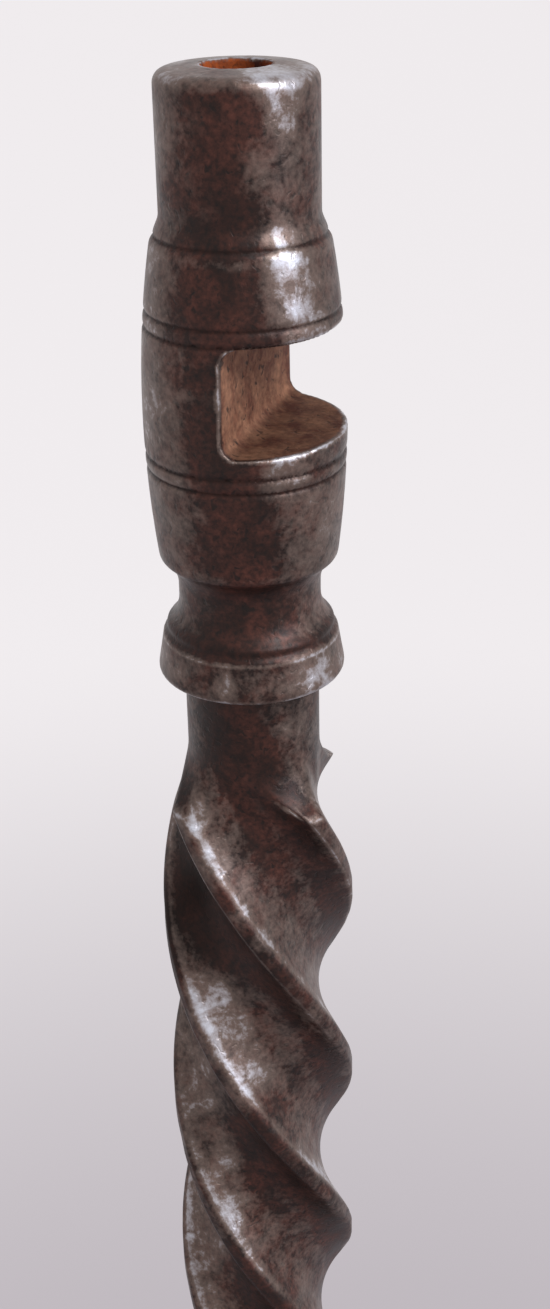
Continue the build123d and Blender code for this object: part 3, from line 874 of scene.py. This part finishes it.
    def section_radius(self, angle: float) -> float:
        """Radius of the ridged section.

        Args:
            angle: Angle from a crest, in radians.

        Returns:
            The radius there, rounded where a flute meets the ridge's top.
        """
        off = self.off_crest(angle)
        off_flute = math.pi / self.ridge_count - abs(off)
        cutter_at = self.floor_r + self.cutter_r
        reach = max(self.cutter_r**2 - (cutter_at * math.sin(off_flute)) ** 2, 0.0)
        flute = cutter_at * math.cos(off_flute) - math.sqrt(reach)
        return soft_min(self.ridge_r, flute, self.upper_round if off > 0 else self.lower_round)

    def flare(self, height: float) -> float:
        """Radius of the flare that joins the ridges' tops to the neck.

        Args:
            height: Height of the point.

        Returns:
            The radius, which is past the ridges below the flare.
        """
        rise = self.ridge_r + self.ridge_edge - self.neck_r
        arc_r = (rise**2 + self.flare_length**2) / (2 * rise)
        below = max(self.collar_face - self.neck_length - height, 0.0)
        if below >= self.flare_length:
            return self.ridge_r + 2.0
        return self.neck_r + arc_r - math.sqrt(arc_r**2 - below**2)

    def core(self, height: float) -> float:
        """Smallest radius of the bar: the neck, whose core runs on into the tops of the flutes.

        Args:
            height: Height of the point.

        Returns:
            The radius, which is under the flutes' floors below the run-out.
        """
        runout_at = self.collar_face - self.runout_length
        taper = ease(runout_at - self.runout_taper, runout_at, height)
        neck = ease(runout_at, self.collar_face - self.neck_length, height)
        buried = self.floor_r - self.core_cover
        return buried + taper * (self.runout_r - buried) + neck * (self.neck_r - self.runout_r)

    def wear(self, off_deg: float, height: float, place: Vector) -> float:
        """How far the oxide is rubbed off the ridged bar at a point, with painted highlights added and
        painted shade taken off.

        Args:
            off_deg: Angle from the nearest crest in degrees, above 0 on its upper side.
            height: Height of the point.
            place: The point itself, in millimetres.

        Returns:
            The record of wear and painted light, 0 to 1.
        """
        below = self.collar_face - height
        patches = noise.noise(place / self.patch_mm)
        edge_patches = self.edge_patches * patches
        formed = ease(*self.formed_below, below)
        highlight_side = self.highlight_side_wear * facing(place, *self.highlight_side)
        wear = handled(place) + self.film_patches * patches
        wear += self.lit_flute.wear(off_deg) - self.shaded_flute.wear(off_deg)
        wear += formed * self.upper_edge.wear(off_deg, highlight_side + edge_patches)
        wear += formed * (1 - ease(*self.lower_edge_ends, below)) * self.lower_edge.wear(off_deg)
        wear += self.flank.wear(off_deg, edge_patches)
        wear += self.spotted(self.spots, place) - self.shade_spot_cover * self.spotted(self.stains, place)
        return min(max(wear, 0.0), 1.0)

    def spotted(self, spots: Sequence[WearAndLightSpot], place: Vector) -> float:
        """Wear of all the spots together at a point in millimetres."""
        return sum(spot.wear(self.top - place.z, place) for spot in spots)

    def stretch(self) -> BMesh:
        """Sweep the section up one stretch of the bar, a little denser at the ridges' edges.

        Returns:
            The open bmesh of the lowest stretch.
        """
        mesh = bmesh.new()
        circle = bmesh.ops.create_circle(mesh, segments=self.section_points, radius=self.ridge_r)["verts"]
        for vertex in circle:
            angle = math.atan2(vertex.co.y, vertex.co.x)
            crowded = angle - self.crest_crowding * math.sin(self.ridge_count * angle) / self.ridge_count
            radius = self.section_radius(crowded)
            turned = crowded + self.first_angle
            vertex.co = (radius * math.cos(turned), radius * math.sin(turned), self.start)
        step = (0, 0, self.stretch_length / self.stretch_steps)
        around = {"cent": (0, 0, 0), "axis": (0, 0, 1), "dvec": step, "angle": self.stretch_turn}
        geom = circle + list(mesh.edges)
        bmesh.ops.spin(mesh, geom=geom, **around, steps=self.stretch_steps, use_merge=False)
        return mesh

    def bar(self) -> BMesh:
        """Make the ridged bar at its full section, from the bearing to the collar.

        Returns:
            The bmesh, in millimetres.
        """
        mesh = bmesh.new()
        copies = [
            Matrix.Translation((0, 0, self.stretch_length * count))
            @ Matrix.Rotation(self.stretch_turn * count, 4, "Z")
            for count in range(self.stretches)
        ]
        join(mesh, self.stretch(), copies)
        bmesh.ops.remove_doubles(mesh, verts=mesh.verts, dist=0.005)
        bmesh.ops.holes_fill(mesh, edges=[edge for edge in mesh.edges if edge.is_boundary], sides=0)
        return mesh

    def shape(self, mesh: BMesh) -> None:
        """Bring the bar in to the flare, the neck and its chamfer, and record wear with painted light, and
        painted shade.

        Args:
            mesh: The ridged bar.
        """
        wear_and_painted_light, hollow, _ = (mesh.verts.layers.float.new(kind.value) for kind in Attribute)
        for vertex in mesh.verts:
            radius = math.hypot(vertex.co.x, vertex.co.y)
            height = vertex.co.z
            flare = self.flare(height)
            core = self.core(height)
            chamfer = self.ridge_r - self.end_chamfer + (height - self.start)
            shaped = soft_min(radius, flare, self.flare_round)
            shaped = soft_min(shaped, chamfer, self.chamfer_round)
            shaped = soft_max(shaped, core, self.runout_round)
            twist = self.first_angle - math.tau * (height - self.start) / self.lead
            off_deg = math.degrees(self.off_crest(math.atan2(vertex.co.y, vertex.co.x) - twist))

            # Share of a ridge, of the sharp tip where the flare cuts one, and of the plain neck.
            ridge = ease(self.floor_r + 0.1, self.floor_r + 0.5, shaped) * ease(-0.02, 0.12, radius - core)
            tip = bump(radius, flare, 0.35) * ease(self.neck_r + 0.4, self.neck_r + 1.2, shaped)
            plain = bump(shaped, core, 0.03) * ease(-12, -8, height - self.collar_face)
            neck = max(ease(0.0, 0.25, radius - flare), plain)

            dent = ease(*self.dent_noise, noise.noise(vertex.co / self.dent_mm))
            shaped -= self.dent_depth * dent * ease(self.ridge_r - 0.8, self.ridge_r, shaped)
            wear = self.wear(off_deg, height, vertex.co)
            vertex[wear_and_painted_light] = max(wear * (1 - self.neck_cover * neck), self.tip_wear * tip)
            # Painted shade on the flutes' floors, under each ridge, on the neck and in the stains.
            floor = self.flute_floor_shade * (1 - ease(0.0, self.flute_floor_shade_depth, shaped - self.floor_r))
            shade_level = max((floor + self.under_ridge_shade.wear(off_deg)) * ridge, self.neck_shade * neck)
            vertex[hollow] = min(shade_level + self.spotted(self.stains, vertex.co), 1.0)
            vertex.co.x *= shaped / radius
            vertex.co.y *= shaped / radius

    def ends(self, mesh: BMesh) -> None:
        """Add the journal with its pin groove, and the tenon that the socket is fixed on.

        Args:
            mesh: The shaped bar.
        """
        round_steps = 6
        overlap = 0.2
        outline = [(0.0, self.bottom)]
        for step in range(round_steps + 1):
            angle = math.pi / 2 * step / round_steps
            radius = self.journal_r - self.end_round * (1 - math.sin(angle))
            outline.append((radius, self.bottom + self.end_round * (1 - math.cos(angle))))
        low, high = self.pin_level - self.pin_half, self.pin_level + self.pin_half
        top = self.start + overlap
        outline += [(self.journal_r, low), (self.groove_r, low), (self.groove_r, high)]
        outline += [(self.journal_r, high), (self.journal_r, top), (0.0, top)]
        join(mesh, turn_outline(outline, 64))
        tenon_top = self.collar_face + self.tenon_length
        tenon_start = self.collar_face - overlap
        corners = ((0.0, tenon_start), (self.tenon_r, tenon_start), (self.tenon_r, tenon_top))
        join(mesh, turn_outline((*corners, (0.0, tenon_top)), 48))

    def build(self) -> None:
        """Make the spindle, put it on its body and dress it."""
        mesh = self.bar()
        self.shape(mesh)
        self.ends(mesh)
        piece = build_piece("spindle_bar", mesh)
        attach(piece, "spindle")
        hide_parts("spindle")
        dress(piece, self.patina)
        log.info("spindle_bar: %d faces", len(piece.data.polygons))


@dataclass
class BitSocket:
    """Turned baluster with the bit's bore and the side notch that seats a half-moon tang.

    Levels are measured down from the mouth, in millimetres.
    """

    nodes: Mapping[str, Object]
    patina: Material
    voxel: float = 0.166
    smoothing_passes: int = 2
    sharp_bend: float = 0.22
    edge_bends: Pair = (0.2, 0.7)
    corner_bends: Pair = (0.12, 1.0)
    bore_r: float = 2.0
    mouth_r: float = 4.7
    mouth_length: float = 8.35
    shoulder_r: float = 5.3
    shoulder_level: float = 9.7
    bulb_r: float = 6.18
    bulb_level: float = 20.0
    bulb_end_r: float = 5.58
    bulb_end_level: float = 29.3
    notch_top: float = 13.6
    notch_bottom: float = 21.6
    line_levels: tuple[float, ...] = (9.3, 13.6, 14.5, 22.3, 23.2)
    line_depth: float = 0.08
    line_half_width: float = 0.19
    rim_level: float = 34.4
    rim_step: float = 0.084
    patch_mm: float = 4.545
    film_patches: float = 0.1
    edge_wear: float = 0.95
    # Painted shade: the turned lines keep less film and are darker, and inner corners, the notch's floor
    # and the cove above the collar's rim are darker.
    line_cover: float = 0.6
    line_shade: float = 0.7
    corner_shade: float = 0.8
    notch_floor_shade: float = 0.9
    collar_cove_shade: float = 0.35
    bands: tuple[WearAndLightBand, ...] = (
        WearAndLightBand(0.3, 0.9, 0.42),
        WearAndLightBand(9.9, 0.5, 0.22),
        WearAndLightBand(28.9, 0.5, 0.15),
        WearAndLightBand(34.58, 0.18, 0.60),
        WearAndLightBand(35.9, 1.8, 0.28),
        WearAndLightBand(37.1, 0.3, 0.25),
    )
    # Most spots are painted highlights down the lit side and painted reflections on the left side, drawn as
    # rubbed film and bright steel.
    # Level, azimuth, size and strength of each spot.
    spots: tuple[WearAndLightSpot, ...] = tuple(
        WearAndLightSpot(*row)
        for row in (
            (0.8, -38.0, 2.4, 0.60), (5.0, -43.0, 2.6, 0.22), (9.0, -41.0, 1.6, 0.40),
            (11.2, -38.0, 2.8, 0.52), (13.4, -36.0, 2.2, 0.30), (3.3, -133.0, 3.0, 0.32),
            (11.0, -131.0, 3.0, 0.30), (16.5, -134.0, 4.2, 0.34), (20.8, -127.0, 3.6, 0.26),
            (25.0, -119.0, 3.6, 0.24), (25.8, -25.0, 4.0, 0.24), (22.0, -47.0, 2.2, 0.52),
            (14.1, -24.0, 2.4, 0.34), (36.0, -27.0, 3.0, 0.34), (35.9, -86.0, 1.0, 0.40),
        )
    )

    def __post_init__(self) -> None:
        """Read the socket's height from the frame."""
        self.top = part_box("bit_socket")[1].z / MM

    def turned_radius(self, level: float) -> float:
        """Radius of the turned outside from the mouth down to the bulb's end.

        Args:
            level: Level of the point.

        Returns:
            The radius there.
        """
        if level < self.mouth_length:
            return self.mouth_r
        if level < self.shoulder_level:
            share = (level - self.mouth_length) / (self.shoulder_level - self.mouth_length)
            return self.mouth_r + share * (self.shoulder_r - self.mouth_r)
        end_r, end_level = self.bulb_end_r, self.bulb_end_level
        if level < self.bulb_level:
            end_r, end_level = self.shoulder_r, self.shoulder_level
        fall = self.bulb_r - end_r
        arc_r = (fall**2 + (end_level - self.bulb_level) ** 2) / (2 * fall)
        return self.bulb_r - arc_r + math.sqrt(arc_r**2 - (level - self.bulb_level) ** 2)

    def worn_body(self) -> BMesh:
        """Remesh the CAD solid evenly and soften its edges as long use does.

        Returns:
            The bmesh, in millimetres.
        """
        solid = bmesh.new()
        solid.from_mesh(self.nodes["bit_socket"].data)
        bmesh.ops.remove_doubles(solid, verts=solid.verts, dist=0.001 * MM)
        bmesh.ops.scale(solid, vec=(1 / MM, 1 / MM, 1 / MM), verts=solid.verts)
        data = mesh_data("socket_copy", solid)
        copy = link("socket_copy", data)
        remesh = copy.modifiers.new("even", "REMESH")
        remesh.mode = "VOXEL"
        remesh.voxel_size = self.voxel
        evaluated = copy.evaluated_get(bpy.context.evaluated_depsgraph_get())
        mesh = bmesh.new()
        mesh.from_mesh(evaluated.to_mesh())
        evaluated.to_mesh_clear()
        bpy.data.objects.remove(copy)
        bpy.data.meshes.remove(data)
        for _ in range(self.smoothing_passes):
            bmesh.ops.smooth_vert(
                mesh, verts=mesh.verts, factor=0.5, use_axis_x=True, use_axis_y=True, use_axis_z=True
            )
        return mesh

    def inside(self, level: float, radius: float) -> float:
        """How far a point is inside the socket.

        Args:
            level: Level of the point.
            radius: Its distance from the axis.

        Returns:
            0 on the turned outside, 0.5 in the notch and 1 in the bore.
        """
        if level > self.bulb_end_level or (level < 0.45 and radius > self.bore_r + 0.12):
            return 0.0
        # It fades within half a millimetre of the outside, so that the edges count as outside.
        depth = self.turned_radius(level) - radius
        in_notch = 0.5 * ease(0.12, 0.5, depth)
        in_bore = 0.5 * (1 - ease(self.bore_r + 0.1, self.bore_r + 0.3, radius))
        if self.notch_top < level < self.notch_bottom:
            in_bore *= ease(0.0, 0.8, self.notch_top + 0.8 - level)
        return in_notch + in_bore

    def outside_wear(self, level: float, place: Vector) -> float:
        """How far the oxide is rubbed off the turned outside at a point, with painted light from the spots
        and the darker side.

        Args:
            level: Level of the point.
            place: The point itself, in millimetres.

        Returns:
            The record of wear and painted light, 0 to 1.
        """
        wear = handled(place) + self.film_patches * noise.noise(place / self.patch_mm)
        wear += sum(band.wear(level) for band in self.bands)
        wear += sum(spot.wear(level, place) for spot in self.spots)
        return wear

    def record(self, mesh: BMesh) -> None:
        """Cut the turned lines again, step the collar's rim and record wear with painted light, and painted
        shade.

        Args:
            mesh: The remeshed body.
        """
        wear_and_painted_light, hollow, inside = (mesh.verts.layers.float.new(kind.value) for kind in Attribute)
        for vertex, bend in edge_bends(mesh).items():
            level = self.top - vertex.co.z
            radius = math.hypot(vertex.co.x, vertex.co.y)
            sheltered = self.inside(level, radius)
            line = 0.0
            if sheltered < 0.02:
                line = max(bump(level, line_level, self.line_half_width) for line_level in self.line_levels)
                # The cove above the rim, on the collar and not on the thin part that carries it.
                above_rim = bump(level, self.rim_level - 0.25, 0.35) * ease(5.0, 5.3, radius)
                shaped = radius - self.line_depth * line - self.rim_step * above_rim
                vertex.co.x *= shaped / radius
                vertex.co.y *= shaped / radius
            edge = ease(*self.edge_bends, bend / self.sharp_bend)
            corner = ease(*self.corner_bends, -bend / self.sharp_bend)
            # Painted shade on the notch's floor and in the cove above the collar.
            floor = self.notch_floor_shade * sheltered * ease(0.5, 0.9, vertex.normal.z)
            above_collar = self.collar_cove_shade * bump(level, self.rim_level - 0.5, 0.8)
            wear = self.outside_wear(level, vertex.co) + self.edge_wear * edge
            wear *= 1 - ease(0.05, 0.3, sheltered) * (1 - edge)
            vertex[wear_and_painted_light] = min(max(wear - self.line_cover * line - above_collar, 0.0), 1.0)
            # Painted shade in inner corners and turned lines, on the notch's floor and above the collar.
            shade_level = self.corner_shade * corner + self.line_shade * line + floor + above_collar
            vertex[hollow] = min(shade_level, 1.0)
            vertex[inside] = sheltered

    def build(self) -> None:
        """Make the socket, put it on its body and dress it."""
        mesh = self.worn_body()
        self.record(mesh)
        piece = build_piece("socket_body", mesh)
        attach(piece, "spindle")
        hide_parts("bit_socket")
        dress(piece, self.patina)
        log.info("socket_body: %d faces", len(piece.data.polygons))


@dataclass
class Fittings:
    """Pieces that keep the shape of their CAD solids and only get their finishes."""

    nodes: Mapping[str, Object]
    pad_wood: Material
    grip_wood: Material
    brass: Material
    steel: Material
    leather: Material
    brass_nodes: tuple[str, ...] = (
        "pad_ferrule", "bearing_bush", "lower_cap", "upper_cap", "ferrule_pins", "guide_bush", "driver_nut",
    )
    steel_nodes: tuple[str, ...] = (
        "bearing_housing", "housing_screws", "thrust_disc", "retaining_pins", "lower_cap_pins",
        "upper_cap_pins", "grip_tube", "guide_screws", "nut_screws",
    )

    def build(self) -> None:
        """Dress every piece of the head and the grip."""
        finishes = {"palm_pad": self.pad_wood, "grip_barrel": self.grip_wood, "buffer_washer": self.leather}
        finishes |= {name: self.brass for name in self.brass_nodes}
        finishes |= {name: self.steel for name in self.steel_nodes}
        for name, material in finishes.items():
            dress(self.nodes[name], material)
            log.info("%s: %s", name, material.name)


@dataclass
class Studio:
    """Pale floor, soft lamps and the camera close to the socket's mouth."""

    mouth: Vector
    heading_deg: float = 20.5
    pitch_deg: float = 26.79
    roll_deg: float = -1.156
    distance_mm: float = 100.937
    offset_mm: float = 1.493
    rise_mm: float = 14.407
    lens_mm: float = 32.17
    sensor_mm: float = 24.0
    # Painted shadow: the floor's colour round the drill, blending to floor_far between near_r and far_r.
    floor_painted_shadow: str = "#bbb4ba"
    floor_far: str = "#f2eef0"
    backdrop: str = "#f4f1f3"
    floor_r: float = 8.0
    near_r: float = 0.12
    far_r: float = 0.60
    floor_glow: float = 0.85
    world_level: float = 0.36
    world_seen: float = 0.95
    sun_level: float = 2.0
    sun_side_deg: float = 50.0
    sun_fall_deg: float = 46.0
    sun_width_deg: float = 26.0
    window_watts: float = 1.25
    window_tint: str = "#eef2ff"
    window_size: Pair = (0.2, 0.5)
    window_side_deg: float = 58.0
    window_distance: float = 0.5
    window_rise: float = 0.19

    def camera(self) -> None:
        """Place the camera from its heading, pitch and roll round the mouth's centre."""
        data = bpy.data.cameras.new("camera")
        data.sensor_fit = "VERTICAL"
        data.sensor_height = self.sensor_mm
        data.lens = self.lens_mm
        data.clip_start = 0.005
        data.clip_end = 50.0
        camera = link("camera", data)
        turn = Matrix.Rotation(math.radians(self.heading_deg), 3, "Z")
        offset = turn @ Vector((self.offset_mm, -self.distance_mm, self.rise_mm))
        tilt = Matrix.Rotation(math.radians(90 - self.pitch_deg), 3, "X")
        roll = Matrix.Rotation(math.radians(self.roll_deg), 3, "Z")
        camera.matrix_world = Matrix.Translation(self.mouth + offset * MM) @ (turn @ tilt @ roll).to_4x4()
        bpy.context.scene.camera = camera

    def seen(self, tree: Tree) -> Socket:
        """Tell the rays of the camera and of gloss and glass from those that light the drill.

        Args:
            tree: Tree that gets the nodes.

        Returns:
            A socket that is 1 for camera, glossy and transmission rays and 0 for the rest.
        """
        share = 0.0
        for ray in ("Is Camera Ray", "Is Glossy Ray", "Is Transmission Ray"):
            is_ray = add_node(tree, "LightPath", output=ray)
            share = add_node(tree, "Math", {0: is_ray, 1: share}, operation="MAXIMUM")
        return share

    def floor(self) -> None:
        """Lay a wide round floor with a painted shadow: it is a little greyer near the drill."""
        mesh = bmesh.new()
        bmesh.ops.create_circle(mesh, cap_ends=True, segments=96, radius=self.floor_r)
        floor = link("floor", mesh_data("floor", mesh))
        material, tree = new_material("studio_floor")
        place = add_node(tree, "TexCoord", output="Object")
        distance = add_node(tree, "VectorMath", {0: place}, "Value", operation="LENGTH")
        far = Ramp(self.near_r, self.far_r).of(distance)
        share = add_node(tree, "MapRange", far, interpolation_type="SMOOTHSTEP")
        shades = {SHARE: share, UNDER: self.floor_painted_shadow, OVER: self.floor_far}
        colour = add_node(tree, "Mix", shades, **COLOURS)
        lit = add_node(tree, "BsdfDiffuse", {"Color": colour, "Roughness": 0.5})
        glow = add_node(tree, "Emission", {"Color": colour})
        share = add_node(tree, "Math", {0: self.seen(tree), 1: self.floor_glow}, operation="MULTIPLY")
        surface = add_node(tree, "MixShader", {0: share, 1: lit, 2: glow})
        add_node(tree, "OutputMaterial", {"Surface": surface})
        dress(floor, material)

    def lamps(self) -> None:
        """Light the drill with an even world, a wide soft sun and a tall window at the right."""
        world = bpy.data.worlds.new("studio")
        world.use_nodes = True
        tree = world.node_tree
        tree.nodes.clear()
        levels = Ramp(0.0, 1.0, self.world_level, self.world_seen)
        level = add_node(tree, "MapRange", levels.of(self.seen(tree)))
        sky = add_node(tree, "Background", {"Color": self.backdrop, "Strength": level})
        add_node(tree, "OutputWorld", {"Surface": sky})
        bpy.context.scene.world = world

        sun = bpy.data.lights.new("sun", "SUN")
        sun.energy = self.sun_level
        sun.angle = math.radians(self.sun_width_deg)
        side = math.radians(self.heading_deg + self.sun_side_deg)
        link("sun", sun).rotation_euler = Euler((math.radians(self.sun_fall_deg), 0.0, side))

        window = bpy.data.lights.new("window", "AREA")
        window.shape = "RECTANGLE"
        window.size, window.size_y = self.window_size
        window.energy = self.window_watts
        window.color = linear(self.window_tint)[:3]
        side = math.radians(self.heading_deg + self.window_side_deg)
        spot = self.mouth + Vector((math.sin(side), -math.cos(side), 0.0)) * self.window_distance
        spot.z += self.window_rise
        frame = link("window", window)
        frame.location = spot
        frame.rotation_euler = (self.mouth - spot).to_track_quat("-Z", "Y").to_euler()
        frame.visible_camera = False

    def build(self) -> None:
        """Set up floor, lamps and camera."""
        self.floor()
        self.lamps()
        self.camera()


def main() -> None:
    """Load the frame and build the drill's looks round it."""
    logging.basicConfig(level=logging.INFO, format="%(name)s %(message)s")
    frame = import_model()
    nodes = frame["nodes"]
    patina = BrownedSteel().build()
    TwistedSpindle(patina).build()
    BitSocket(nodes, patina).build()
    Fittings(
        nodes,
        pad_wood=WaxedHardwood("waxed_pad_wood", "#6b3d22", "#3a1d10", pith_mm=(31.0, 12.0)).build(),
        grip_wood=WaxedHardwood("waxed_grip_wood", "#74442a", "#3f2012", pith_mm=(-26.0, 19.0)).build(),
        brass=TurnedMetal("aged_brass", "#a98850", "#644d31", metallic=1.0, stain_mm=3.5).build(),
        steel=TurnedMetal("dulled_steel", "#6e6663", "#463733", metallic=0.85, stain_mm=5.0).build(),
        leather=OiledLeather().build(),
    ).build()
    Studio(Vector((0.0, 0.0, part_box("bit_socket")[1].z))).build()
    bpy.context.scene.view_settings.view_transform = "Standard"


if __name__ == "__main__":
    main()
